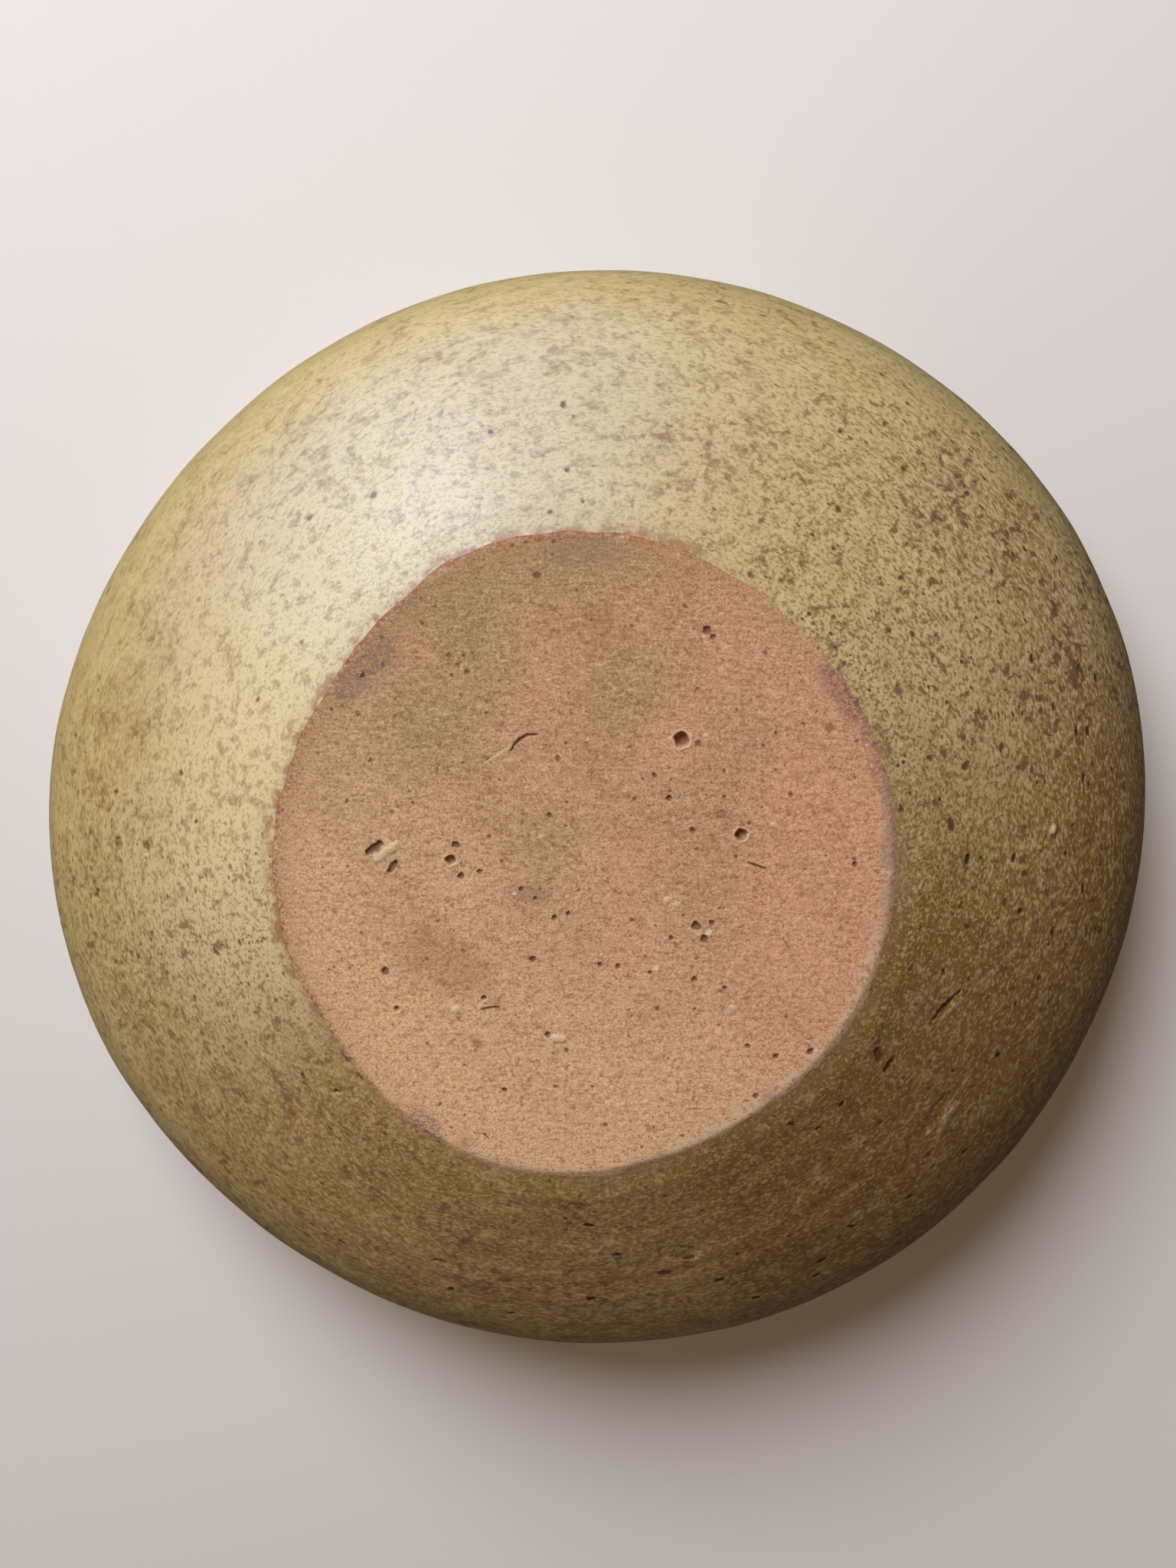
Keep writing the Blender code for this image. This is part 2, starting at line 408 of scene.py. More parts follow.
def markRelief(points, marks, deepest):
    # how deep each point lies, in mm, and how strongly each tone colours it
    depth = np.zeros(len(points))
    tones = {name: np.zeros(len(points)) for name in toneNames}
    for mark in marks:
        kind = {**markShape, **markKinds[mark["kind"]]}
        width, path = mark["width"], mark["path"]
        half = width / 2
        near = np.flatnonzero(distanceTo(points, path) < kind["reach"] * half + kind["margin"])
        if not len(near):
            continue
        q = distanceTo(points[near], path) / half
        q *= 1 + kind["uneven"] * grain(points[near] + half, max(half * 0.8, 0.5))
        if len(path) > 1:
            middle = np.mean(path, axis=0)
            reach = max(np.linalg.norm(end - middle) for end in path) + half
            q *= 1 + kind["taper"] * (np.linalg.norm(points[near] - middle, axis=1) / reach) ** 2
        hollow = np.clip(1 - q ** kind["steep"], 0, 1) ** 1.2
        rim = np.exp(-((q - kind["rimPlace"]) / kind["rimWidth"]) ** 2)
        depth[near] += min(kind["depth"] * width, deepest) * hollow - kind.get("rim", 0) * width * rim
        core = ramp(q, kind["colourEnd"], kind["colourFull"])
        for name in toneNames:
            value = kind.get(name, 0) * core
            if name == "pale":
                value = np.maximum(value, kind.get("paleRim", 0) * rim)
            tones[name][near] = np.maximum(tones[name][near], value)
    return depth, tones


def strayMarks(node, strays):
    # marks strewn evenly by chance over a ring (mm), laid on the frame's node from below or above
    chance = np.random.default_rng(strays["seed"])
    inner, outer = strays["ring"]
    radius = np.sqrt(chance.uniform(inner ** 2, outer ** 2, strays["count"]))
    bearing = chance.uniform(-math.pi, math.pi, strays["count"])
    shares = chance.uniform(0, 1, strays["count"])
    ahead = Vector((0, 0, -strays["fromHeight"])).normalized()
    marks = []
    for x, y, share in zip(radius * np.cos(bearing), radius * np.sin(bearing), shares):
        start = Vector((x, y, strays["fromHeight"])) * mm
        hit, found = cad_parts[node].ray_cast(start, ahead)[:2]
        if hit:
            kind = next(kind for kind, least in strays["kinds"] if share > least)
            width = strays["least"] + strays["spread"] * share
            marks.append({"kind": kind, "width": width, "path": [np.array(found) / mm]})
    return marks


# The two coats of glaze lie on the clay and meet on the lip's crest.
glaze = {
    "face": 0.8,          # mm from the clay to the glaze's face
    "endFace": 0.06,      # the same where it feathers out at the foot
    "back": 0.1,
    "line": 0.35,         # height on the clay where the outside coat starts
    "thinReach": 6.0,
    "backStart": 2.0,     # how far from that end its hidden side begins
    "overlapTurn": 0.17,  # how far each coat runs on past the crest, in radians
    "overlapFall": 0.05,
    "lipTone": 0.6,
    "lipBand": (-1.5, 0.5),    # heights round the lip's top between which its tone grows
    "smoothBelow": math.radians(75),
}
crestTurn = math.pi / 2 - bowl["lipLean"]

outside = {
    "segments": 480,
    "lipStep": 0.4,
    "wallStep": 1.15,
    "footReach": 7.0,      # the wall's last stretch, in finer steps
    "footStep": 0.35,
    "backStep": 8.0,
    "cuts": 3,
    "swellSize": 15.0,     # soft unevenness of the thrown wall
    "swellDepth": 0.2,
    "grooveSize": 5.5,     # shallow grooves that the potter's fingers left round the wall
    "grooveRadius": 20.0,  # they change that much slower round the bowl than up it
    "grooveDepth": 0.22,
    "skinSize": 4.5,
    "skinDepth": 0.035,
    "crumble": 0.5,
    "crumbSize": 1.6,
    "deepest": 0.62,       # marks go no deeper than the glaze
    # where round the bowl each look is seen: strength (for the wider ones mm), then bearing, half width
    # and softness in degrees
    "sides": {
        "grooves": ((0.65, 120, 60, 50),),
        "crumbs": ((1.0, 35, 75, 25),),
        "thick": ((1.0, 40, 55, 30),),
        "thin": ((0.65, 215, 65, 35),),
        "thinWider": ((1.0, 190, 35, 25),),
        # painted highlight: the specks fade where the highlight falls on the upper left; towards bearing 90
        # they fade half as much
        "calmAndSheen": ((1.0, 235, 30, 60), (0.5, 90, 60, 30)),
        # painted shade: the side turned away from the light, where the glaze is browned and loses its
        # yellow belly streaks
        "shaded": ((1.0, 12, 42, 35),),
        # painted shade: darker brown on the right and lower right, away from the light
        "paintedShade": ((0.48, 72, 48, 45), (0.9, 40, 22, 32)),
        # painted highlight: a grey-white sheen up the wall on the upper left
        "paintedSheen": ((0.36, 247, 18, 40),),
        "yellow": ((0.45, 225, 75, 50),),
        # partly the glaze's cream, partly painted sheen: paler cream by the foot on the left
        "creamAndSheen": ((0.85, 200, 28, 40),),
        # painted light: paler cream over the upper right
        "creamAndLightRight": ((0.3, 306, 27, 25),),
    },
    "strays": {
        "seed": 7, "count": 110, "ring": (68, 118), "fromHeight": -10, "least": 0.7, "spread": 0.6,
        "kinds": (("pit", 0.93), ("fleck", -1)),
    },
}

# Marks read off the photograph, by kind: width in mm, then the picture's x and y at each point of its path
outsideMarks = {
    "slit": (
        (0.9, 739, 475, 751, 473), (1.0, 1225, 592, 1229, 600, 1224, 611), (1.7, 1165, 1380, 1154, 1398),
        (1.6, 1214, 1336, 1226, 1320, 1240, 1306, 1252, 1294), (0.6, 1186, 1323, 1200, 1333),
        (1.0, 1375, 1210, 1374, 1226), (0.9, 1330, 1383, 1336, 1393), (0.8, 764, 1599, 774, 1598),
        (1.1, 564, 1644, 578, 1643),
    ),
    "chip": (
        (0.8, 756, 474), (0.6, 744, 611), (0.9, 1217, 983), (0.7, 1210, 1029), (1.7, 193, 1115),
        (0.8, 1308, 912), (0.9, 1294, 882), (0.7, 1298, 890),
    ),
    "spot": (
        (1.8, 736, 530), (1.3, 749, 544), (1.3, 761, 655), (1.1, 719, 669), (1.6, 641, 566),
        (1.5, 741, 615), (1.6, 1154, 555), (1.4, 1096, 564), (1.4, 1184, 529), (1.6, 1179, 613),
        (1.4, 1214, 764), (1.5, 1174, 756), (1.7, 1094, 666), (1.4, 1088, 717), (1.4, 1294, 747),
        (1.3, 1046, 726), (1.3, 1086, 807), (1.6, 1159, 823), (1.5, 1175, 1057), (1.7, 1212, 990),
        (1.5, 239, 1010), (1.4, 258, 1072), (1.4, 153, 1033), (1.1, 184, 1174), (1.5, 1083, 1512),
        (1.4, 468, 1459), (1.4, 396, 1402), (1.4, 665, 1572), (1.3, 769, 1695), (1.1, 652, 1680),
        (2.0, 1336, 1140), (2.2, 1239, 1070, 1242, 1082), (1.7, 1261, 1209), (1.9, 1307, 973, 1305, 980),
        (2.0, 1262, 996, 1257, 1004), (1.6, 1140, 1362, 1146, 1358), (2.4, 862, 1661, 874, 1660),
        (1.6, 868, 1560),
    ),
    "fleck": (
        (1.3, 711, 597), (1.4, 576, 541), (1.2, 562, 548), (1.3, 1264, 786), (1.3, 1135, 760),
        (1.3, 1254, 701), (1.4, 1003, 719), (1.2, 1042, 745), (1.4, 1125, 848), (1.4, 993, 681),
        (1.2, 198, 1043), (1.3, 121, 1040), (1.3, 189, 1148), (1.5, 1096, 1443), (1.4, 369, 1429),
        (1.4, 429, 1385), (1.3, 739, 1590), (1.4, 592, 1682), (1.2, 847, 1689), (1.2, 713, 1685),
        (1.3, 667, 1712), (1.3, 686, 1646), (1.3, 1306, 851), (1.2, 1305, 1003), (1.0, 1316, 1066),
        (1.3, 915, 1548),
    ),
    "mauve": ((2.6, 1171, 901), (2.2, 809, 1640)),
    "pit": (
        (3.0, 156, 1099, 156, 1105), (2.6, 129, 1165, 129, 1170), (1.8, 1033, 1466), (1.3, 1435, 1217),
        (1.1, 1302, 1376), (1.7, 438, 1424, 444, 1424), (1.4, 805, 1636), (2.2, 1409, 872, 1415, 888),
    ),
    "redPit": (
        (2.2, 192, 1104), (2.8, 1144, 1370, 1148, 1382), (1.0, 1180, 1406), (1.0, 1247, 921),
        (1.1, 1357, 1004),
    ),
    "ridge": (
        (2.2, 1224, 1338, 1238, 1322, 1256, 1304), (3.5, 1250, 1440, 1236, 1460, 1226, 1480),
        (4.0, 346, 1379, 369, 1396), (3.4, 455, 1395),
    ),
    "hollow": ((5.0, 1237, 1431, 1222, 1450, 1211, 1472), (6.0, 868, 1634, 905, 1636)),
    "bead": ((2.8, 1374, 1081, 1374, 1085),),
    "prick": (
        (1.6, 1429, 882, 1430, 890), (1.5, 1346, 855, 1347, 865), (1.5, 1404, 950, 1404, 959),
        (1.4, 1419, 950, 1419, 959), (1.4, 1413, 1008, 1413, 1021), (1.2, 1419, 1020, 1420, 1028),
        (1.4, 1413, 1153, 1412, 1166), (1.5, 1323, 1116, 1322, 1125), (1.9, 1263, 1117, 1262, 1126),
        (1.2, 1280, 1120), (1.3, 1230, 1267), (1.6, 1331, 1190), (1.3, 1391, 1114), (1.2, 1400, 1077),
        (1.2, 1392, 1233), (1.3, 1357, 1273, 1354, 1280), (1.2, 1325, 1310), (1.5, 1302, 1377),
        (1.4, 1262, 1500, 1254, 1505), (1.2, 1231, 1270), (1.3, 1243, 1398), (1.6, 1096, 1443, 1100, 1438),
        (1.5, 1065, 1473, 1070, 1470), (1.7, 765, 1598, 775, 1599), (1.6, 802, 1636, 810, 1636),
        (1.6, 890, 1642, 906, 1641), (1.8, 984, 1694, 990, 1693), (1.9, 1068, 1647, 1076, 1643),
        (1.6, 1062, 1665, 1070, 1661), (1.3, 1030, 1612), (1.6, 768, 1695, 776, 1694), (1.8, 590, 1682),
        (1.6, 664, 1713, 672, 1713), (1.4, 934, 1671, 944, 1669), (1.3, 963, 1636), (1.3, 738, 1589),
        (1.2, 845, 1690, 853, 1690), (1.5, 1108, 1600, 1116, 1599), (1.6, 1182, 1564, 1190, 1559),
    ),
}

lipPath = spaced(roundLip(crestTurn + glaze["overlapTurn"], 0, 60), outside["lipStep"])
wallPath = spaced(aboveHeight(outsideWall(), glaze["line"]), outside["wallStep"],
                  (outside["footReach"], outside["footStep"]))
outsidePath = np.vstack((lipPath, wallPath[1:]))
lengths = lengthsAlong(outsidePath)
beyond = glaze["overlapTurn"] * bowl["lipThickness"] / 2
fromFoot = lengths[-1] - lengths
thinning = np.interp(fromFoot, (0, glaze["thinReach"]), (glaze["endFace"], glaze["face"]))
dip = glaze["overlapFall"] * np.clip(1 - lengths / beyond, 0, 1) ** 2
outsideFace = movedOut(outsidePath, thinning - dip)
hiddenPath = outsidePath[fromFoot >= glaze["backStart"]]
outsideBack = movedOut(spaced(hiddenPath, outside["backStep"]), glaze["back"])[::-1]
coatOutline = np.vstack((outsideFace, outsideBack))
coat = turned("outside_glaze_coat", coatOutline, outside["segments"], closed=True)

marks = readMarks("outer_glaze", outsideMarks) + strayMarks("outer_glaze", outside["strays"])
closeUp(coat, marks, outsideFace, outside["cuts"])

points = read(coat)
normals = read(coat, "normal")
radius, bearing = polar(points)
out = np.stack((np.cos(bearing), np.sin(bearing)), axis=1)
side = sides(outside, bearing)
depth, tones = markRelief(points, marks, outside["deepest"])
wall = ramp(points[:, 2], 1.0, 9.0) * ramp(points[:, 2], bowl["height"], bowl["height"] - 6)
depth += wall * outside["swellDepth"] * grain(points, outside["swellSize"])
spun = np.column_stack((out * outside["grooveRadius"], radius + points[:, 2]))
grooves = grain(spun, outside["grooveSize"]) * (0.35 + side["grooves"])
depth += wall * outside["grooveDepth"] * grooves
depth += ramp(points[:, 2], 0.8, 3.8) * outside["skinDepth"] * grain(points, outside["skinSize"])
# the glaze's end wanders along the clay, and crumbles where it ran thick on the right
stray = lineStray(bearing)
crumbs = outside["crumble"] * side["crumbs"] * grain(points, outside["crumbSize"])
slide = np.maximum(stray + crumbs, endLine["least"]) * ramp(points[:, 2], 4.5, 0.5)
points -= normals * depth[:, None]
points[:, :2] += out * slide[:, None] * math.cos(bowl["wallStart"])
points[:, 2] += slide * math.sin(bowl["wallStart"])
place(coat, points)

# Tones of the glaze, by height, by distance from its end at the foot (both in mm) and by bearing
heightOnWall = points[:, 2]
fromLine = radius / outOfRound(points) - outsideFace[-1, 0] - stray
thinReach = 2.0 + 2.6 * side["thick"] + side["thinWider"]
tones["thin"] = ramp(fromLine, thinReach, 0) * (0.2 + side["thin"] + 0.3 * side["thick"])
tones["lip"] = lipTone(heightOnWall)
# painted highlight, in part: where the specks fade under the highlight
tones["calmAndSheen"] = side["calmAndSheen"]
# Painted shade on the side turned away from the light: browner glaze, without the yellow belly streaks
shaded = ramp(fromLine, 22, 48) * side["shaded"]
tones["bellyShare"] = ramp(heightOnWall, 22, 44) * (1 - tones["lip"]) * (1 - 0.8 * shaded)
tones["paintedShade"] = np.maximum(side["paintedShade"], shaded)
# painted highlight: grey-white sheen from the foot up the wall on the upper left
tones["paintedSheen"] = ramp(fromLine, 78, 30) * side["paintedSheen"]
belt = 1.3 - np.abs(heightOnWall - 33) / 9 + 0.7 * grain(points, 9)
tones["yellow"] = ramp(belt, 0, 1) * side["yellow"]
# partly cream glaze, partly painted sheen and painted light: paler by the foot on the left and over the
# upper right
tones["creamAndSheen"] = np.maximum(ramp(fromLine, 50, 10) * side["creamAndSheen"], side["creamAndLightRight"])
addTones(coat, tones)
bpy.ops.object.shade_smooth_by_angle(angle=glaze["smoothBelow"])

inside = {
    "segments": 360,
    "step": 1.25,
    "lipStep": 0.4,
    "backStep": 8.0,
    "cuts": 3,
    "ringPitch": 9.0,      # finger grooves left by throwing
    "ringDepth": 0.16,
    "swellSize": 18.0,
    "swellDepth": 0.14,
    "skinSize": 4.5,
    "skinDepth": 0.03,
    "deepest": 0.62,
    "strays": {
        "seed": 11, "count": 70, "ring": (4, 108), "fromHeight": 90, "least": 0.9, "spread": 0.8,
        "kinds": (("pit", 0.85), ("spot", 0.4), ("fleck", -1)),
    },
}

insidePath = np.vstack((
    spaced(insideWall(), inside["step"]),
    spaced(roundLip(math.pi, crestTurn - glaze["overlapTurn"], 60), inside["lipStep"])[1:],
))
lengths = lengthsAlong(insidePath)
dip = glaze["overlapFall"] * np.clip(1 - (lengths[-1] - lengths) / beyond, 0, 1) ** 2
insideFace = movedOut(insidePath, glaze["face"] - dip)
insideFace[0, 0] = 0
insideBack = movedOut(spaced(insidePath, inside["backStep"]), glaze["back"])[::-1]
insideBack[-1, 0] = 0
lining = turned("inside_glaze_coat", np.vstack((insideFace, insideBack)), inside["segments"])

marks = strayMarks("inner_glaze", inside["strays"])
closeUp(lining, marks, insideFace, inside["cuts"])

points = read(lining)
normals = read(lining, "normal")
radius, bearing = polar(points)
depth, tones = markRelief(points, marks, inside["deepest"])
outward = np.interp(points[:, 2] + radius, insideFace[:, 1] + insideFace[:, 0], lengthsAlong(insideFace))
spiral = np.cos(2 * math.pi * outward / inside["ringPitch"] + bearing + 0.8 * grain(points, 30))
ringShare = ramp(radius, 0, 12) * ramp(points[:, 2], bowl["height"] - 8, bowl["height"] - 16)
depth += inside["ringDepth"] * ringShare * spiral
depth += inside["swellDepth"] * ringShare * grain(points, inside["swellSize"])
depth += inside["skinDepth"] * grain(points, inside["skinSize"])
place(lining, points - normals * depth[:, None])
tones["lip"] = lipTone(points[:, 2])
tones["pooled"] = ramp(points[:, 2], 26, 8) + 0.25 * ringShare * np.clip(spiral, 0, 1)
addTones(lining, tones)
bpy.ops.object.shade_smooth_by_angle(angle=glaze["smoothBelow"])

foot = {
    "segments": 320,
    "flatStep": 0.65,
    "edgeStep": 0.4,
    "hiddenStep": 8.0,
    "cuts": 3,
    "sag": 0.28,           # the face is a little hollow and stands on its rim
    "swellSize": 16.0,
    "swellDepth": 0.10,
    "skinSize": 3.2,
    "skinDepth": 0.035,
    "grogSize": 1.1,
    "grogDepth": 0.022,
    "deepest": 2.2,
    "sides": {
        # partly the clay's red edge, partly painted shade where the glaze's end meets the clay
        "redLineAndShade": ((0.5, 200, 85, 30),),
        "reddened": ((0.16, 215, 45, 70),),
        "crumbly": ((1.0, 48, 52, 30),),
        "crumblyWider": ((1.8, 28, 34, 20),),
        "greyed": ((0.6, -14, 14, 18),),
        "browned": ((0.25, 195, 30, 35),),
    },
    # soft clouds over the face: share at its middle, rise per mm along X and Y, cloudiness, size, shift
    "clouds": {
        "salmon": (0.52, 0.9 / 130, 0.5 / 130, 0.45, 17, 0),
        "buff": (0.28, -0.7 / 95, 0.9 / 95, 0.25, 18, 50),
    },
}

footMarks = {
    "slit": (
        (0.7, 667, 981, 672, 972, 680, 965, 689, 960, 701, 960), (0.6, 629, 1319, 640, 1317, 652, 1316),
        (0.6, 977, 1127, 988, 1131, 1000, 1135), (0.5, 632, 1480, 638, 1487),
    ),
    "chip": (
        (0.5, 634, 996, 650, 985, 662, 977), (0.9, 921, 959), (0.9, 1008, 1075), (1.5, 856, 1263),
        (0.7, 918, 831), (1.5, 925, 1217), (0.9, 912, 1220), (0.8, 1066, 1371), (0.9, 671, 1167),
        (1.1, 842, 1437), (0.7, 791, 1439), (0.6, 668, 1226), (0.6, 557, 1153), (0.7, 767, 965),
        (0.6, 990, 965), (0.7, 1132, 973), (0.6, 1138, 1000), (0.7, 375, 1220), (0.5, 732, 988),
    ),
    "pit": (
        (1.9, 480, 1114, 496, 1102), (1.4, 508, 1139, 517, 1126), (1.5, 595, 1104), (1.5, 602, 1145),
        (1.1, 626, 1139), (0.9, 849, 1271), (1.8, 924, 823), (1.2, 931, 832), (1.9, 909, 1210),
        (1.6, 920, 1227), (1.2, 930, 1206), (1.0, 855, 1013), (1.3, 874, 1043), (1.1, 905, 1085),
        (1.0, 718, 1065), (1.2, 724, 1199), (1.0, 742, 1194), (1.4, 696, 1254), (1.1, 784, 1261),
        (1.1, 807, 1263), (1.7, 503, 1269), (1.2, 715, 1352), (1.2, 659, 1424), (1.3, 907, 1280),
        (1.0, 947, 1291), (1.1, 877, 1226), (1.2, 1117, 1129), (1.4, 1059, 1374), (1.2, 1014, 1380),
        (1.1, 977, 1367), (1.2, 987, 1432), (1.0, 680, 1162), (0.9, 699, 1174), (1.0, 474, 882),
    ),
    "crumb": (
        (2.6, 492, 1123, 505, 1113, 517, 1104), (2.4, 724, 1357, 735, 1358), (2.2, 595, 1320),
        (2.0, 872, 1176), (1.6, 884, 1182),
    ),
    "hole": (
        (2.2, 588, 1124), (3.2, 890, 966), (2.5, 968, 1091), (1.2, 632, 1304), (1.2, 518, 1318),
        (1.3, 380, 991),
    ),
    "redPit": (
        (1.4, 912, 971), (1.0, 484, 993), (1.0, 639, 1093), (0.9, 539, 1049), (1.7, 702, 752),
        (1.2, 729, 991), (0.9, 829, 1044), (1.1, 1033, 1038), (1.2, 586, 856), (1.0, 598, 868),
        (1.2, 610, 878), (0.9, 606, 856), (0.8, 590, 882),
    ),
    "mauve": ((2.2, 943, 1063),),
    "lump": ((2.4, 956, 1319), (2.0, 939, 1351)),
}

# Wide soft colours, by tone: strength, width in mm, then the picture's x and y at each point
footStains = {
    "rust": ((0.3, 14, 556, 1250, 602, 1268), (0.2, 10, 780, 816)),
    "mauve": (
        (0.55, 8, 448, 900, 474, 872, 500, 848), (0.75, 6, 1085, 880, 1120, 930),
        (0.7, 5, 1146, 972, 1160, 1012), (0.6, 4, 1162, 1120), (0.6, 5, 543, 1456, 565, 1476),
        (0.5, 4, 608, 1492), (0.55, 4, 1006, 1434), (0.7, 5, 822, 1530, 866, 1514),
        (0.45, 4, 668, 1166, 690, 1168, 706, 1171), (0.25, 7, 740, 720, 790, 716),
    ),
}

# How far the stains' outlines stray, in bumps of what share of their width, and where they end and are
# full, in half widths from the middle
stainShape = {"uneven": 0.35, "bumps": 0.3, "end": 1.3, "full": 0.3}

flat = np.linspace((bowl["footRadius"], 0), (0, 0), round(bowl["footRadius"] / foot["flatStep"]) + 1)
clayOutline = np.vstack((
    spaced(insideWall(), foot["hiddenStep"]),
    spaced(roundLip(math.pi, 0, 48), 1.0)[1:],
    spaced(outsideWall(), foot["hiddenStep"], (8.0, foot["edgeStep"]))[1:],
    spaced(footEdge(), foot["edgeStep"])[1:],
    flat[1:],
))
clay = turned("bare_clay_body", clayOutline, foot["segments"])

marks = readMarks("clay_body", footMarks)
closeUp(clay, marks, clayOutline, foot["cuts"])

points = read(clay)
radius, bearing = polar(points)
depth, tones = markRelief(points, marks, foot["deepest"])
fromEdge = bowl["footRadius"] - radius
depth += foot["sag"] * ramp(fromEdge, 2, 32)
depth += foot["swellDepth"] * ramp(fromEdge, 1, 11) * (1 + grain(points, foot["swellSize"]))
depth += foot["skinDepth"] * ramp(fromEdge, -2, 2) * (1 + grain(points, foot["skinSize"]))
depth += foot["grogDepth"] * ramp(fromEdge, -2, 1) * grain(points, foot["grogSize"])
points[:, 2] += np.where(points[:, 2] < 1.0, np.maximum(depth, -0.02), 0)   # the foot alone
place(clay, points)

for name, rows in footStains.items():
    for strength, width, *picturePoints in rows:
        q = distanceTo(points, onBowl("clay_body", picturePoints)) / (width / 2)
        q *= 1 + stainShape["uneven"] * grain(points, width * stainShape["bumps"])
        tones[name] = np.maximum(tones[name], strength * ramp(q, stainShape["end"], stainShape["full"]))
# Tones of the clay, by distance from the foot's middle to the glaze's straying end (mm) and by bearing
outward = radius / outOfRound(points) - lineStray(bearing)
side = sides(foot, bearing)
# the dark red line along the glaze's end: partly the clay's own red, partly painted shade of the groove
# there
tones["redLineAndShade"] = ramp(np.abs(outward - 63.2), 1.5, 0.5) * side["redLineAndShade"]
tones["redLineAndShade"] += ramp(outward, 54, 62) * side["reddened"]
crumbStart = 61.6 - side["crumblyWider"] - 2.6 * grain(points, 2.0)
tones["crumbly"] = ramp(outward - crumbStart, 0, 0.8) * side["crumbly"]
greyed = ramp(outward + 2.0 * grain(points + 20, 2.8), 60.3, 61.5) * side["greyed"]
browned = ramp(outward, 59.5, 62.5) * side["browned"]
tones["mauve"] = np.maximum.reduce((tones["mauve"], greyed, browned))
for name, (middle, alongX, alongY, cloudy, size, shift) in foot["clouds"].items():
    share = middle + points[:, 0] * alongX + points[:, 1] * alongY + cloudy * grain(points + shift, size)
    tones[name] = ramp(share, 0, 1)
addTones(clay, tones)
bpy.ops.object.shade_smooth()

for piece, node, slot in (
    (coat, "outer_glaze", "outside_glaze"),
    (lining, "inner_glaze", "inside_glaze"),
    (clay, "clay_body", "bare_clay"),
):
    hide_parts(node)
    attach(piece, "root")


def toLinear(colour):
    # "#RRGGBB" as the linear colour that Blender mixes
    parts = [int(colour[start:start + 2], 16) / 255 for start in (1, 3, 5)]
    return tuple(p / 12.92 if p <= 0.04045 else ((p + 0.055) / 1.055) ** 2.4 for p in parts) + (1.0,)


def addNode(tree, kind, settings=None, links=None):
    # gives the new node's outputs; settings are its options and unlinked sockets, links its linked sockets
    node = tree.nodes.new("ShaderNode" + kind)
    for name, value in (settings or {}).items():
        if isinstance(name, str) and hasattr(node, name):
            setattr(node, name, value)
        else:
            node.inputs[name].default_value = value
    for name, source in (links or {}).items():
        tree.links.new(source, node.inputs[name])
    return node.outputs


def newMaterial(name):
    material = bpy.data.materials.new(name)
    material.use_nodes = True
    tree = material.node_tree
    tree.nodes.clear()
    return material, tree


perMetre = 1000  # a pattern's scale is this over its size in mm
colourMix = {"data_type": "RGBA"}
softStep = {"interpolation_type": "SMOOTHSTEP"}


def laidOver(tree, paint, colour, layers):
    # paints each layer (the colour's name, its mask) over the ones before; no mask means the tone so named
    for name, mask in layers:
        mixed = addNode(tree, "Mix", {**colourMix, 7: toLinear(paint[name])}, {
            0: toneMask(tree, name) if mask is None else mask, 6: colour,
        })
        colour = mixed[2]
    return colour


def strayed(tree, where, reach):
    # the surface's place shaken a little (mm), so that spots on it come out uneven
    shake = addNode(tree, "TexNoise", {"Scale": perMetre / 0.9, "Detail": 1.0}, {"Vector": where})[1]
    return addNode(tree, "VectorMath", {
        "operation": "MULTIPLY_ADD", 1: (reach * mm,) * 3,
    }, {0: shake, 2: where})[0]


def spotMask(tree, where, cell, spread, least, soft, strength):
    # spots strewn by chance, one or none to each cell (mm); sizes are shares of the cell
    cells = addNode(tree, "TexVoronoi", {"Scale": perMetre / cell}, {"Vector": where})
    chance = addNode(tree, "SeparateColor", links={0: cells["Color"]})[0]
    size = addNode(tree, "Math", {"operation": "MULTIPLY_ADD", 1: spread, 2: -least}, {0: chance})[0]
    within = addNode(tree, "Math", {"operation": "SUBTRACT"}, {0: size, 1: cells["Distance"]})[0]
    return addNode(tree, "MapRange", {**softStep, 1: -soft, 2: soft, 4: strength}, {0: within})[0]


def toneMask(tree, tone, pattern=None, least=0.0):
    # how much of a tone the shape carries here, broken up by a pattern where one is given
    share = addNode(tree, "Attribute", {"attribute_name": tone})["Fac"]
    if pattern is None:
        return share
    broken = addNode(tree, "MapRange", {1: 0.42, 2: 0.58, 3: least, 4: 1.2}, {0: pattern})[0]
    return addNode(tree, "Math", {"operation": "MULTIPLY", "use_clamp": True}, {0: share, 1: broken})[0]


